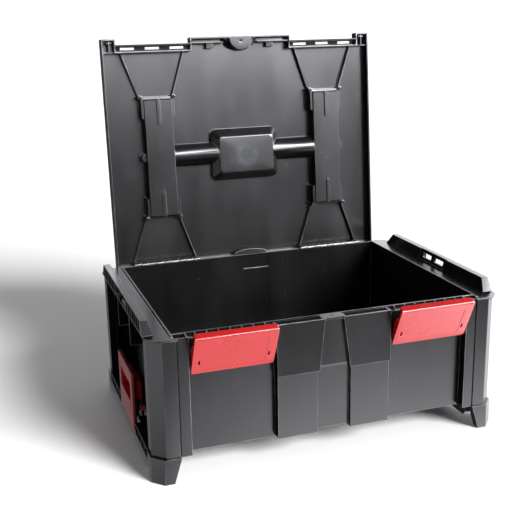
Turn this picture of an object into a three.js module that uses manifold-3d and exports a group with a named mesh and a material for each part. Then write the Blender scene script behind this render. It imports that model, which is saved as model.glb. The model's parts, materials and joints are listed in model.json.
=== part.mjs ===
// A stackable 600 x 400 mm transport case with a hinged lid, two front latches, two side coupling flaps
// and a carrying handle that lies flush in the lid. Millimetres, +Z up. The case stands open: the lid leans
// back past upright and both latches hang forward. Pieces are laid out with y = 0 on the front face, and
// one group at the end centres the open case over the origin.
import * as THREE from 'three';
import { mergeVertices } from 'three/addons/utils/BufferGeometryUtils.js';
import Module from 'manifold-3d';

const wasm = await Module();
wasm.setup();

// ---------------------------------------------------------------- driving dimensions

const DEPTH = 416;
const MID_Y = DEPTH / 2;
const GAP = 0.3;
const SIDES = [-1, 1];
const ENDS = [-1, 1];

const TUB = {
  halfWidth: 261, wall: 3, front: 19, back: 411, bottom: 42, floor: 3,
  rimTop: 235.6, sideRimTop: 236.4, stepZ: 225, rimInner: 26, rimOuter: 23, ledgeZ: 228,
};
const PAD = { outer: 273, from: 45, to: 158, low: 175, gusset: 2.5, gussetOuter: 296.5 };
const PLATE = { bottom: 232.5, top: 235, half: 300.4, inner: 262, front: 253.8, chamfer: 19 };
const RAIL = {
  top: 255.9, innerLow: 282.8, innerHigh: 288.6, endLow: 29.6, endHigh: 44.9, wall: 2.6,
  zoneHalf: 47, zoneDepth: 3, windowFrom: 6.5, windowTo: 36, windowLow: 241.5, windowHigh: 249.5,
  cells: 7, cellsFrom: 49, cellPitch: 15.8, cellRib: 1.8,
};
const FOOT = { top: 42, half: 300, thick: 14 };
const BASE = { inner: 285, outer: 299, low: 22, high: 41.7, plateLow: 38.5, plateInner: 255, wall: 2.5 };
const RUNNER = { inner: 262, outer: 273.5, low: 9, from: 36, nose: 6 };
const STRIP = { inner: 236.5, outer: 253.5, face: 3.5, bottom: 41.4 };
const BUMP = {
  inner: 28.5, outer: 96, face: 4.6, bottom: 43, wall: 2.6, capBottom: 150, capFace: 0.9, capTopFace: 4.2,
};
const LATCH = {
  inner: 102, outer: 234, pivotY: 12, pivotZ: 180, open: 25.8, face: -7.3, wall: 2.5,
  low: -3.6, high: 71, hookDepth: 4.7, flange: 3, lip: 3.5, lipBack: 2, panelDepth: 0.45,
};
const HINGE = { y: 419.5, z: 234, lean: 4.84, barrel: 5, from: 105, to: 235, count: 9, gap: 0.4 };
const LID = {
  half: 266.5, rear: -6, front: 421, skin: 3, top: 22, edge: 2, recessIn: 99.4, recessOut: 240.5,
  recessBack: 398, recessFront: 410.5, ledgeLow: 11, ledgeHigh: 13.5, lip: 2.4,
};
const WELL = { inner: 142, outer: 196, rear: 89, front: 310.5, low: -4, wall: 2.5, mid: 202 };
const BOSS = { inner: 138, outer: 202, rear: 86.5, front: 314.5, r: 3.8, bore: 1.7, end: -1 };
const GROOVE = { half: 3.4, low: -7, length: 48, bore: 1.8 };
const LUG = { half: 2.7, length: 36 };
const CUP = {
  half: 66.5, rear: 149, front: 247, faceHalf: 56, faceRear: 162, faceFront: 234, kneeT: 10, round: 3,
};
const SCOOP = { half: 36, halfLow: 32, reach: 26, reachLow: 7, lowT: 10, wall: 2.5 };
const TROUGH = { r: 21.5, t: 17.5, inner: 19 };
const GRIP = { halfS: 15, halfT: 9.5, t: 10.5, end: 147 };
const BLOCK = { inner: 146, outer: 192, halfS: 18, low: -0.5, high: 20 };
const ARM = { inner: 154, outer: 184, pivotS: 10, t: 4, length: 84, thick: 4, barrel: 4.3, end: 3.8 };
const CAP = { inner: 131, outer: 209, from: 284, to: 320, low: 22.3, high: 25, blockLow: 9, seat: 23.5 };
const FLAP = {
  face: 300, skin: 3, halfY: 59.5, low: 26, high: 130, inset: 1.2, cupBack: 281, cupWall: 2,
  holeHalf: 42, holeLow: 70.6, holeHigh: 104.6, pivotX: 283, pivotZ: 65,
  cheekFrom: 44.8, cheekTo: 47.2, lugFrom: 47.6, lugTo: 50.6, capFrom: 54.6, capTo: 58.6, hookLow: 9,
};
const PIN = { r: 2.1, bore: 2.35, flap: 3, flapBore: 3.3 };

// ---------------------------------------------------------------- materials

const plastic = (colour, roughness = 0.5) =>
  new THREE.MeshStandardMaterial({ color: colour, roughness, metalness: 0 });
const metal = () => new THREE.MeshStandardMaterial({ color: 0xb4b6b8, roughness: 0.35, metalness: 1 });
const blackPlastic = () => plastic(0x2b2c2e);
const redPlastic = () => plastic(0xd7332f, 0.42);
const rubber = () => plastic(0x1c1c1d, 0.8);

// ---------------------------------------------------------------- solids and booleans

// A closed geometry as a solid that can be joined and cut.
function solid(geometry) {
  const bare = geometry.clone();
  bare.deleteAttribute('normal');
  bare.deleteAttribute('uv');
  const merged = mergeVertices(bare, 1e-4);
  return new wasm.Manifold(new wasm.Mesh({
    numProp: 3,
    vertProperties: new Float32Array(merged.attributes.position.array),
    triVerts: new Uint32Array(merged.index.array),
  }));
}

const join = (solids) => solids.reduce((whole, next) => whole.add(next));
const cut = (whole, solids) => solids.reduce((rest, next) => rest.subtract(next), whole);

function toGeometry(body) {
  const mesh = body.getMesh();
  const geometry = new THREE.BufferGeometry();
  geometry.setAttribute('position', new THREE.BufferAttribute(new Float32Array(mesh.vertProperties), 3));
  geometry.setIndex(new THREE.BufferAttribute(new Uint32Array(mesh.triVerts), 1));
  geometry.computeVertexNormals();
  return geometry;
}

// A block between two corners, given in any order.
function box(xa, xb, ya, yb, za, zb) {
  const geometry = new THREE.BoxGeometry(Math.abs(xb - xa), Math.abs(yb - ya), Math.abs(zb - za));
  geometry.translate((xa + xb) / 2, (ya + yb) / 2, (za + zb) / 2);
  return solid(geometry);
}

// An outline of [a, b] points pushed along the remaining axis, from one station to the other.
function prism(axis, outline, from, to, holes = []) {
  const shape = new THREE.Shape(outline.map(([a, b]) => new THREE.Vector2(a, b)));
  for (const hole of holes) {
    shape.holes.push(new THREE.Path(hole.map(([a, b]) => new THREE.Vector2(a, b))));
  }
  const low = Math.min(from, to);
  const depth = Math.abs(to - from);
  const geometry = new THREE.ExtrudeGeometry(shape, { depth, bevelEnabled: false, curveSegments: 8 });
  const X = new THREE.Vector3(1, 0, 0);
  const Y = new THREE.Vector3(0, 1, 0);
  const Z = new THREE.Vector3(0, 0, 1);
  const turn = new THREE.Matrix4();
  if (axis === 'x') {
    geometry.translate(0, 0, low);
    turn.makeBasis(Y, Z, X);
  } else if (axis === 'y') {
    geometry.translate(0, 0, -(low + depth));
    turn.makeBasis(X, Z, Y.clone().negate());
  } else {
    geometry.translate(0, 0, low);
  }
  return solid(geometry.applyMatrix4(turn));
}

// A round bar along an axis. The two centre values are the other two coordinates, in X, Y, Z order.
function rod(axis, r, from, to, a, b, count = 12) {
  const ring = arc(a, b, r, 0, 360 - 360 / count, count - 1);
  return prism(axis, ring, from, to);
}

// Points on a circle or ellipse from one angle to another, in degrees.
function arc(a, b, r, start, end, steps, rb = r) {
  const points = [];
  for (let i = 0; i <= steps; i += 1) {
    const angle = THREE.MathUtils.degToRad(start + ((end - start) * i) / steps);
    points.push([a + r * Math.cos(angle), b + rb * Math.sin(angle)]);
  }
  return points;
}

function roundedRect(a0, a1, b0, b1, r, steps = 4) {
  return [
    ...arc(a1 - r, b0 + r, r, -90, 0, steps),
    ...arc(a1 - r, b1 - r, r, 0, 90, steps),
    ...arc(a0 + r, b1 - r, r, 90, 180, steps),
    ...arc(a0 + r, b0 + r, r, 180, 270, steps),
  ];
}

// A solid between two outlines in plan with the same number of points, one above the other.
function loft(lowLoop, z0, highLoop, z1) {
  const area = THREE.ShapeUtils.area(lowLoop.map(([a, b]) => new THREE.Vector2(a, b)));
  const low = area > 0 ? lowLoop : [...lowLoop].reverse();
  const high = area > 0 ? highLoop : [...highLoop].reverse();
  const count = low.length;
  const points = [...low.map(([a, b]) => [a, b, z0]), ...high.map(([a, b]) => [a, b, z1])];
  const faces = [];
  const plan = (loop) => loop.map(([a, b]) => new THREE.Vector2(a, b));
  for (const [i, j, k] of THREE.ShapeUtils.triangulateShape(plan(low), [])) {
    faces.push(i, k, j);
  }
  for (const [i, j, k] of THREE.ShapeUtils.triangulateShape(plan(high), [])) {
    faces.push(i + count, j + count, k + count);
  }
  for (let i = 0; i < count; i += 1) {
    const j = (i + 1) % count;
    faces.push(i, j, j + count, i, j + count, i + count);
  }
  const geometry = new THREE.BufferGeometry();
  geometry.setAttribute('position', new THREE.Float32BufferAttribute(points.flat(), 3));
  geometry.setIndex(faces);
  return solid(geometry);
}

const mirrorX = (side, outline) => outline.map(([x, other]) => [side * x, other]);
const mirrorEnd = (end, outline) => outline.map(([x, y]) => [x, end < 0 ? y : DEPTH - y]);
const fromEnd = (end, y) => (end < 0 ? y : DEPTH - y);

// ---------------------------------------------------------------- tub

// The open box: floor, four walls and the doubled top edge at the front.
function tubShell() {
  const inner = TUB.halfWidth - TUB.wall;
  const shell = box(-TUB.halfWidth, TUB.halfWidth, TUB.front, TUB.back, TUB.bottom, TUB.rimTop);
  const floor = TUB.bottom + TUB.floor;
  return cut(shell, [
    box(-inner, inner, TUB.front + TUB.wall, TUB.back - TUB.wall, floor, TUB.stepZ),
    box(-inner, inner, TUB.rimInner, TUB.back - TUB.wall, TUB.stepZ - 1, TUB.rimTop + 1),
    box(-STRIP.inner, STRIP.inner, TUB.front - 1, TUB.rimOuter, TUB.ledgeZ, TUB.rimTop + 1),
  ]);
}

// A corner post: a flat front facet with a fine groove, a 45 degree facet and a narrow side facet.
function cornerPost(side, end) {
  const wall = end < 0 ? TUB.front + 1 : DEPTH - TUB.back + 1;
  const outline = [
    [238, wall], [238, 3.5], [253.6, 3.5], [254.2, 5.5], [255.4, 5.5], [256, 3.5],
    [277.5, 3.5], [297, 23], [297, 44], [283, 44], [283, 26], [260, 26], [260, wall],
  ];
  return prism('z', mirrorEnd(end, mirrorX(side, outline)), FOOT.top + GAP, PLATE.bottom - GAP);
}

// The side walls end a little above the top plates, so a fine seam shows between them.
const sideRim = (side) => (
  box(side * (TUB.halfWidth - TUB.wall), side * TUB.halfWidth, TUB.rimInner, TUB.back - TUB.wall,
    TUB.rimTop - 1, TUB.sideRimTop)
);

// Moulding marks on the inside of the back wall: a short rib across and one tick near each corner.
function wallMarks() {
  const wall = TUB.back - TUB.wall;
  return [
    box(-20, 33, wall - 1.8, wall + 0.5, 205.8, 208),
    ...SIDES.map((side) => box(side * 228.5, side * 229.5, wall - 0.9, wall + 0.5, 221, 232)),
  ];
}

const wallGroove = () => box(32.4, 33.6, TUB.back - TUB.wall - 2, TUB.back - TUB.wall + 0.9, 50, 240);

// The strip beside each front post runs up to the top edge and is cored from above.
function frontStrip(side) {
  const { inner, outer, face, bottom } = STRIP;
  return [
    box(side * inner, side * outer, face, TUB.front + 1, bottom, PLATE.top),
    box(side * (TUB.halfWidth - TUB.wall), side * TUB.halfWidth, 12, TUB.front + 1, 170, TUB.rimTop),
  ];
}

const stripCore = (side) => box(side * 239.5, side * 251, 6.2, 22, 170, 240);
const cornerCore = (side) => box(side * 250, side * 257.5, 8, 22, 170, 240);

// The section of a front panel that leans back a little, from its lower edge up to the top plates.
const wallSlope = (lowFace, lowZ, highFace) => [
  [lowFace, lowZ], [TUB.front + 1, lowZ], [TUB.front + 1, PLATE.top], [highFace, PLATE.top],
];

// One of the two deep pads on the front wall, with a leaning cap that stands a little proud above it.
function frontPad(side) {
  const { inner, outer, face, bottom, capBottom, capFace, capTopFace } = BUMP;
  const cap = [[15.5, PLATE.top], [98, PLATE.top], [97, capBottom], [26, capBottom]];
  const slope = wallSlope(capFace, capBottom, capTopFace);
  return [
    box(side * inner, side * outer, face, TUB.front + 1, bottom, capBottom + 1),
    prism('y', mirrorX(side, cap), 0, TUB.front + 1).intersect(prism('x', slope, side * 10, side * 100)),
  ];
}

function frontPadCore(side) {
  const { inner, outer, bottom, capBottom, wall, face } = BUMP;
  const capCore = [[19.5, 240], [95.4, 240], [94.2, capBottom - 1], [31, capBottom - 1]];
  return [
    box(side * (inner + wall), side * (outer - wall), face + wall, TUB.front, bottom + wall, capBottom),
    prism('y', mirrorX(side, capCore), face + wall, TUB.front),
  ];
}

// The shallower panel between the two pads, with the tab that takes the lid's half-round tongue.
function frontCentre() {
  return [
    prism('x', wallSlope(7.8, 155, 10), -27, 27),
    box(-30, 30, 11.5, TUB.front + 1, 46, 156),
    box(-18.5, 18.5, 6, TUB.rimOuter + 1, 231, PLATE.top),
  ];
}

// Short ribs across the doubled top edge behind each latch, and small ledges at the recess's two ends.
function rimRibs(side) {
  const ribs = [];
  for (let i = 0; i < 7; i += 1) {
    const x = 111 + 18.6 * i;
    ribs.push(box(side * (x - 1), side * (x + 1), TUB.front, TUB.rimOuter + 1, TUB.ledgeZ - 1, 235.2));
  }
  ribs.push(box(side * 97, side * 101.2, 8, TUB.front + 1, 225.5, TUB.ledgeZ));
  ribs.push(box(side * 234.8, side * 238, 8, TUB.front + 1, 225.5, TUB.ledgeZ));
  return ribs;
}

const LATCH_LUGS = [[127, 133], [165, 171], [203, 209]];

function latchLug(side, [x0, x1]) {
  const nose = arc(LATCH.pivotY, LATCH.pivotZ, 4.8, 80, 280, 6);
  const outline = [...nose, [TUB.front + 1, LATCH.pivotZ - 10], [TUB.front + 1, LATCH.pivotZ + 10]];
  return prism('x', outline, side * x0, side * x1);
}

// The two thick pads beside the hand opening, and the two lugs that carry the coupling flap's pin.
function sideWall(side) {
  const lugs = ENDS.map((end) => {
    const nose = side * FLAP.pivotX;
    const low = [side * TUB.halfWidth - side, FLAP.pivotZ - 14];
    const high = [side * TUB.halfWidth - side, FLAP.pivotZ + 12];
    const round = side > 0
      ? arc(nose, FLAP.pivotZ, 5.5, -75, 75, 6)
      : arc(nose, FLAP.pivotZ, 5.5, 105, 255, 6);
    const outline = side > 0 ? [low, ...round, high] : [high, ...round, low];
    return prism('y', outline, MID_Y + end * FLAP.lugFrom, MID_Y + end * FLAP.lugTo);
  });
  const pads = ENDS.map((end) => box(
    side * (TUB.halfWidth - 1), side * PAD.outer, fromEnd(end, PAD.from), fromEnd(end, PAD.to),
    PAD.low, PLATE.bottom - GAP,
  ));
  return [...pads, ...lugs];
}

// Stations of the hinge barrels along one hinge: the lid has the odd ones and the tub the even ones.
function hingeStations(owner) {
  const pitch = (HINGE.to - HINGE.from) / HINGE.count;
  const stations = [];
  for (let i = owner === 'lid' ? 0 : 1; i < HINGE.count; i += 2) {
    const from = HINGE.from + pitch * i;
    stations.push([from + HINGE.gap / 2, from + pitch - HINGE.gap / 2]);
  }
  return stations;
}

function tubKnuckles(side) {
  return hingeStations('tub').flatMap(([from, to]) => [
    rod('x', HINGE.barrel, side * from, side * to, HINGE.y, HINGE.z),
    box(side * from, side * to, TUB.back - 1, HINGE.y, HINGE.z - 5, HINGE.z - 0.5),
  ]);
}

// Upright ribs and one long rib stiffen the back wall below the hinge.
function backRibs() {
  const ribs = [box(-258, 258, TUB.back - 1, 414.5, 214, 217), box(-238, 238, TUB.back - 1, 414.5, 47, 50)];
  for (const x of [-236, -170, -104, -38, 38, 104, 170, 236]) {
    ribs.push(box(x - 1.5, x + 1.5, TUB.back - 1, 414.5, 47, 217));
  }
  return ribs;
}

// A shallow grid under the floor.
function floorRibs() {
  const ribs = [];
  for (const x of [-200, -100, 0, 100, 200]) {
    ribs.push(box(x - 1.25, x + 1.25, 40, 390, 37, TUB.bottom + 1));
  }
  for (const y of [60, 134, 208, 282, 356]) {
    ribs.push(box(-240, 240, y - 1.25, y + 1.25, 37, TUB.bottom + 1));
  }
  return ribs;
}

function buildTub() {
  const body = join([
    tubShell(),
    ...SIDES.flatMap((side) => ENDS.map((end) => cornerPost(side, end))),
    ...SIDES.flatMap(frontStrip),
    ...SIDES.flatMap(frontPad),
    ...frontCentre(),
    ...SIDES.flatMap(rimRibs),
    ...SIDES.flatMap((side) => LATCH_LUGS.map((lug) => latchLug(side, lug))),
    ...SIDES.flatMap(sideWall),
    ...SIDES.map(sideRim),
    ...wallMarks(),
    ...SIDES.flatMap(tubKnuckles),
    ...backRibs(),
    ...floorRibs(),
  ]);
  return cut(body, [
    ...SIDES.flatMap((side) => [stripCore(side), cornerCore(side)]),
    ...SIDES.flatMap(frontPadCore),
    box(-24, 24, 14, TUB.front, 40, 200),
    wallGroove(),
    rod('z', 2, 230, 236, 0, 15),
    ...SIDES.map((side) => rod('x', PIN.bore, side * 120, side * 216, LATCH.pivotY, LATCH.pivotZ)),
    ...SIDES.map((side) => rod('x', PIN.bore, side * 100, side * 240, HINGE.y, HINGE.z)),
    ...SIDES.map((side) => rod('y', PIN.flapBore, MID_Y - 60, MID_Y + 60, side * FLAP.pivotX, FLAP.pivotZ)),
  ]);
}

// ---------------------------------------------------------------- top and base rails

// The D-shaped top plate with the stacking rail on it. The rail is open outwards and divided into cells.
function buildTopRail(side) {
  const { half, inner, front, chamfer } = PLATE;
  const corner = [
    [half - chamfer - 3, 0], [half - chamfer + 2.4, 1.8], [half - 1.8, chamfer - 2], [half, chamfer + 3.4],
  ];
  const plan = [
    [front, 0], ...corner, ...mirrorEnd(1, corner).reverse(), [front, DEPTH],
    [front, TUB.back + GAP], [inner, TUB.back + GAP], [inner, 12], [front, 5.8],
  ];
  const low = [
    [RAIL.innerLow, RAIL.endLow], [half, RAIL.endLow],
    [half, DEPTH - RAIL.endLow], [RAIL.innerLow, DEPTH - RAIL.endLow],
  ];
  const high = [
    [RAIL.innerHigh, RAIL.endHigh], [half, RAIL.endHigh],
    [half, DEPTH - RAIL.endHigh], [RAIL.innerHigh, DEPTH - RAIL.endHigh],
  ];
  const plate = prism('z', mirrorX(side, plan), PLATE.bottom, PLATE.top);
  const rail = loft(mirrorX(side, low), PLATE.top - 0.5, mirrorX(side, high), RAIL.top);
  const gussets = ENDS.map((end) => box(
    side * (PAD.outer + GAP), side * PAD.gussetOuter,
    fromEnd(end, PAD.to), fromEnd(end, PAD.to - PAD.gusset), PAD.low, PLATE.bottom + 1,
  ));
  return cut(join([plate, rail, ...gussets]), [...railCells(side), ...couplingZone(side)]);
}

function railCells(side) {
  const ceiling = RAIL.top - RAIL.wall;
  const cellSection = (extra) => mirrorX(side, [
    [RAIL.innerLow + RAIL.wall + extra, PLATE.top], [RAIL.innerHigh + RAIL.wall + extra, ceiling],
    [PLATE.half + 1, ceiling], [PLATE.half + 1, PLATE.top],
  ]);
  const cells = [prism('y', cellSection(3), MID_Y - RAIL.zoneHalf + 1, MID_Y + RAIL.zoneHalf - 1)];
  for (const end of ENDS) {
    for (let i = 0; i < RAIL.cells; i += 1) {
      const from = RAIL.cellsFrom + RAIL.cellPitch * i;
      cells.push(prism(
        'y', cellSection(0), fromEnd(end, from), fromEnd(end, from + RAIL.cellPitch - RAIL.cellRib),
      ));
    }
  }
  return cells;
}

// The set-back middle of the rail's inner face, with the two windows that a coupling hook enters.
function couplingZone(side) {
  const section = mirrorX(side, [
    [RAIL.innerLow - 4, PLATE.top + 1], [RAIL.innerLow + RAIL.zoneDepth, PLATE.top + 1],
    [RAIL.innerHigh + RAIL.zoneDepth - 0.8, RAIL.top + 1], [RAIL.innerHigh - 4, RAIL.top + 1],
  ]);
  const windows = ENDS.map((end) => box(
    side * 280, side * 296, MID_Y + end * RAIL.windowFrom, MID_Y + end * RAIL.windowTo,
    RAIL.windowLow, RAIL.windowHigh,
  ));
  return [prism('y', section, MID_Y - RAIL.zoneHalf, MID_Y + RAIL.zoneHalf), ...windows];
}

// A foot is an angle in plan that tapers to the floor, so that it drops round the rail of the case below.
function foot(side, end) {
  const { half, thick } = FOOT;
  const low = [
    [267, 0], [282.7, 0], [half, 17.8], [half, 30.4],
    [half - 13, 30.4], [half - 13, 22], [279, thick], [267, thick],
  ];
  const high = [
    [254, 0], [281.4, 0], [half, 19.6], [half, 44.6],
    [half - 13, 44.6], [half - 13, 24], [278, thick], [254, thick],
  ];
  return loft(mirrorEnd(end, mirrorX(side, low)), 0, mirrorEnd(end, mirrorX(side, high)), FOOT.top);
}

function runner(side) {
  const { inner, outer, low, from, nose } = RUNNER;
  const outline = [
    [from, BASE.high - 1], [from, low + nose], ...arc(from + nose, low + nose, nose, 180, 270, 4),
    ...arc(DEPTH - from - nose, low + nose, nose, 270, 360, 4), [DEPTH - from, BASE.high - 1],
  ];
  return prism('x', outline, side * inner, side * outer);
}

// The base frame: two feet, the ribbed outer rail, the plate under the tub and the inner runner.
function buildBaseRail(side) {
  const { inner, outer, low, high, plateLow, plateInner, wall } = BASE;
  const body = join([
    ...ENDS.map((end) => foot(side, end)),
    box(side * inner, side * outer, 26, DEPTH - 26, low, high),
    box(side * plateInner, side * (inner + 2), 12, DEPTH - 12, plateLow, high),
    runner(side),
  ]);
  const cells = ENDS.flatMap((end) => [0, 1, 2, 3].map((i) => {
    const from = 49 + 24.4 * i;
    return box(
      side * (inner + wall), side * (outer + 2), fromEnd(end, from), fromEnd(end, from + 22),
      low + wall, high - wall,
    );
  }));
  return cut(body, [
    ...cells,
    box(side * 289, side * 301, MID_Y - FLAP.halfY - 1.5, MID_Y + FLAP.halfY + 1.5, low - 1, high + 1),
    box(side * 269.5, side * 284, MID_Y - 39, MID_Y + 39, RUNNER.low - 1, high + 1),
  ]);
}

// ---------------------------------------------------------------- front latches

const LATCH_EARS = [[120, 126.5], [133.5, 140], [158.5, 164.5], [171.5, 177.5], [196, 202.5], [209.5, 216]];
const SLOTS = [[110.5, 137], [157.2, 183.8], [204.4, 230.4]];

// The front skin and the top flange in one bend, with rounded corners in front view and in plan.
function latchSkin(side) {
  const { inner, outer, face, wall, low, high, hookDepth, flange } = LATCH;
  const bend = [
    [face, low], [face + wall, low], [face + wall, high - flange], [hookDepth, high - flange],
    [hookDepth, high], ...arc(face + 2.5, high - 2.5, 2.5, 90, 180, 4),
  ];
  const flangePlan = roundedRect(inner, outer, face - 20, hookDepth, 5, 3);
  return prism('x', bend, side * inner, side * outer)
    .intersect(prism('z', mirrorX(side, flangePlan), low - 1, high + 1));
}

// The shallow panel pressed into the latch's face: round corners below and tight ones above.
function latchPanel(side) {
  const { inner, outer, face, panelDepth } = LATCH;
  const [from, to, low, high] = [inner + 14.8, outer - 14.8, 3.2, 57.4];
  const outline = [
    ...arc(to - 8, low + 8, 8, -90, 0, 4), ...arc(to - 1, high - 1, 1, 0, 90, 1),
    ...arc(from + 1, high - 1, 1, 90, 180, 1), ...arc(from + 8, low + 8, 8, 180, 270, 4),
  ];
  return prism('y', mirrorX(side, outline), face - 1, face + panelDepth);
}

// A latch, closed and upright, about its pivot at y = z = 0.
function buildLatch(side) {
  const { inner, outer, face, wall, low, high, hookDepth, flange, lip, lipBack } = LATCH;
  const cheek = [
    [face, low], [face + 2, low], [0.5, 14], [5.2, 36], [5, 43], [1.4, 49],
    [-3.4, 54], [-3.4, high - flange + 1], [face, high - flange + 1],
  ];
  const ear = [[face + 1, low], ...arc(0, 0, 4.5, -110, 70, 7), [face + 1, 12]];
  const hooks = SLOTS.map(([from, to]) => box(
    side * (from + 1.6), side * (to - 1.6), hookDepth - lipBack, hookDepth,
    high - flange - lip, high - flange + 1,
  ));
  const frontView = roundedRect(inner, outer, low, high, 3, 3);
  const shell = join([
    latchSkin(side),
    prism('x', cheek, side * inner, side * (inner + 2.3)),
    prism('x', cheek, side * (outer - 2.3), side * outer),
  ]).intersect(prism('y', mirrorX(side, frontView), face - 1, hookDepth + 1));
  const ears = LATCH_EARS.map(([from, to]) => prism('x', ear, side * from, side * to));
  const body = join([shell, ...ears, ...hooks]);
  return cut(body, [
    rod('x', PIN.bore, side * (inner - 2), side * (outer + 2), 0, 0),
    latchPanel(side),
    ...[inner + 9.2, outer - 12.4].map((x) => (
      box(side * x, side * (x + 3.2), face - 1, face + wall + 1, 14.5, 23.5)
    )),
  ]);
}

// ---------------------------------------------------------------- side coupling flaps

const flapOutline = (inset) => roundedRect(
  MID_Y - FLAP.halfY + inset, MID_Y + FLAP.halfY - inset, FLAP.low, FLAP.high - inset, 3, 3,
);

// The finger hole, or the outline a given distance outside it.
const flapHole = (grow = 0) => roundedRect(
  MID_Y - FLAP.holeHalf - grow, MID_Y + FLAP.holeHalf + grow,
  FLAP.holeLow - grow, FLAP.holeHigh + grow, 3, 3,
);

// The red face, with a closed cup behind the finger hole.
function buildFlapFace(side) {
  const { face, skin, cupBack, cupWall, inset } = FLAP;
  const body = join([
    prism('x', flapOutline(inset), side * (face - skin), side * face),
    prism('x', flapHole(cupWall), side * cupBack, side * (face - 1)),
  ]);
  return cut(body, [prism('x', flapHole(), side * (cupBack + cupWall), side * (face + 1))]);
}

// The carrier behind the face: a back plate, two cheeks on the pin and two hooks that reach down.
function buildFlapCarrier(side) {
  const outer = FLAP.face - FLAP.skin - GAP;
  const { pivotX, pivotZ, cupWall, cheekFrom, cheekTo, hookLow } = FLAP;
  const plate = prism('x', flapOutline(0), side * (outer - 3), side * outer, [flapHole(cupWall + GAP)]);
  const round = side > 0
    ? arc(side * pivotX, pivotZ, 6, 100, 260, 5)
    : arc(side * pivotX, pivotZ, 6, 80, -80, 5);
  const cheek = [...round, [side * (outer - 1), pivotZ - 16], [side * (outer - 1), pivotZ + 16]];
  const arm = mirrorX(side, [
    [outer - 1, 54], [outer - 1, 62], [278, 60], [276, 56], [276, hookLow + 2], [278, hookLow],
    [285.5, hookLow + 1], [285.5, hookLow + 4], [280, hookLow + 7.5], [280, 50], [282, 54],
  ]);
  const cheeks = ENDS.map((end) => prism('y', cheek, MID_Y + end * cheekFrom, MID_Y + end * cheekTo));
  const arms = ENDS.map((end) => prism('y', arm, MID_Y + end * 9, MID_Y + end * 33.5));
  return cut(join([plate, ...cheeks, ...arms]), [
    rod('y', PIN.flapBore, MID_Y - 60, MID_Y + 60, side * pivotX, pivotZ),
  ]);
}

const buildFlapPin = (side) => (
  rod('y', PIN.flap, MID_Y - FLAP.capTo + 3, MID_Y + FLAP.capTo - 3, side * FLAP.pivotX, FLAP.pivotZ)
);

// A red push-on cap on one end of the flap's pin.
function buildPinCap(side, end) {
  const from = MID_Y + end * FLAP.capFrom;
  return cut(
    rod('y', 4.6, from, MID_Y + end * FLAP.capTo, side * FLAP.pivotX, FLAP.pivotZ),
    [rod('y', PIN.flapBore, from - end, MID_Y + end * (FLAP.capTo - 2), side * FLAP.pivotX, FLAP.pivotZ)],
  );
}

// The torsion spring that holds the flap closed, between its front lug and the pin's cap, as the ring
// that its turns fill.
function buildFlapSpring() {
  const half = (FLAP.capFrom - FLAP.lugTo) / 2 - GAP;
  const section = [[3.6, -half], [5, -half], [5, half], [3.6, half], [3.6, -half]];
  const geometry = new THREE.LatheGeometry(section.map(([r, y]) => new THREE.Vector2(r, y)), 16);
  return solid(geometry);
}

// ---------------------------------------------------------------- lid, closed, about its hinge axis
// In the lid's own frame x runs across, y = -s where s is the distance forward of the hinge, and z = t
// is the height above the hinge axis.

const lidBox = (x0, x1, s0, s1, t0, t1) => box(x0, x1, -s0, -s1, t0, t1);

// The skin and the flange round its edge, stepped back at the two latch recesses.
function lidShell() {
  const { half, rear, front, skin, top, edge, lip, ledgeLow, ledgeHigh } = LID;
  const { recessIn, recessOut, recessBack, recessFront } = LID;
  const body = cut(lidBox(-half, half, rear, front, edge, top), [
    lidBox(-half + skin, half - skin, rear + skin, front - skin, edge - 1, top - skin),
  ]);
  const recesses = SIDES.map((side) => (
    lidBox(side * recessIn, side * recessOut, recessBack, front + 1, edge - 1, top + 1)
  ));
  const ledge = [
    [-recessFront, ledgeLow - 1.4], [1 - recessBack, ledgeLow + 0.6],
    [1 - recessBack, ledgeHigh], [-recessFront, ledgeHigh],
  ];
  const linings = SIDES.flatMap((side) => [
    lidBox(side * (recessIn - lip), side * recessIn, recessBack - lip, front - 1, edge, top - 1),
    lidBox(side * recessOut, side * (recessOut + lip), recessBack - lip, front - 1, edge, top - 1),
    lidBox(side * (recessIn - lip), side * (recessOut + lip), recessBack - lip, recessBack, edge, top - 1),
    prism('x', ledge, side * (recessIn - 1), side * (recessOut + 1)),
    lidBox(side * (recessIn - 1), side * (recessOut + 1), recessFront - lip, recessFront, edge, ledgeHigh),
  ]);
  return join([cut(body, recesses), ...linings]);
}

const ledgeSlots = () => SIDES.flatMap((side) => SLOTS.map(([from, to]) => (
  lidBox(side * from, side * to, 401.5, 405.5, LID.ledgeLow - 3, LID.ledgeHigh + 1)
)));

// Corner blocks, the inner lip of the middle section, its small tabs and the half-round tongue.
function lidFrontDetail() {
  const tongue = [...arc(0, -418, 22, 0, 180, 12), [-22, -419], [22, -419]];
  return [
    ...SIDES.flatMap((side) => [
      lidBox(side * 242, side * 264, 396, 398, 6, 20),
      lidBox(side * 251, side * 253, 397, 419, 4, 20),
      lidBox(side * 247, side * 257, 413, 415, 4, 20),
      lidBox(side * 34, side * 98, 409, 411.4, 5, 20),
      lidBox(side * 53, side * 67, 400, 410, 8, 20),
    ]),
    prism('z', tongue, LID.edge, 4.5),
    lidBox(-22, 22, 416, 419, LID.edge, 20),
  ];
}

function slimRib(x0, s0, x1, s1, width, t0, t1) {
  const length = Math.hypot(x1 - x0, s1 - s0);
  const nx = ((s1 - s0) / length) * (width / 2);
  const ns = (-(x1 - x0) / length) * (width / 2);
  const outline = [[x0 + nx, -s0 - ns], [x1 + nx, -s1 - ns], [x1 - nx, -s1 + ns], [x0 - nx, -s0 + ns]];
  return prism('z', outline, t0, t1);
}

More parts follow.
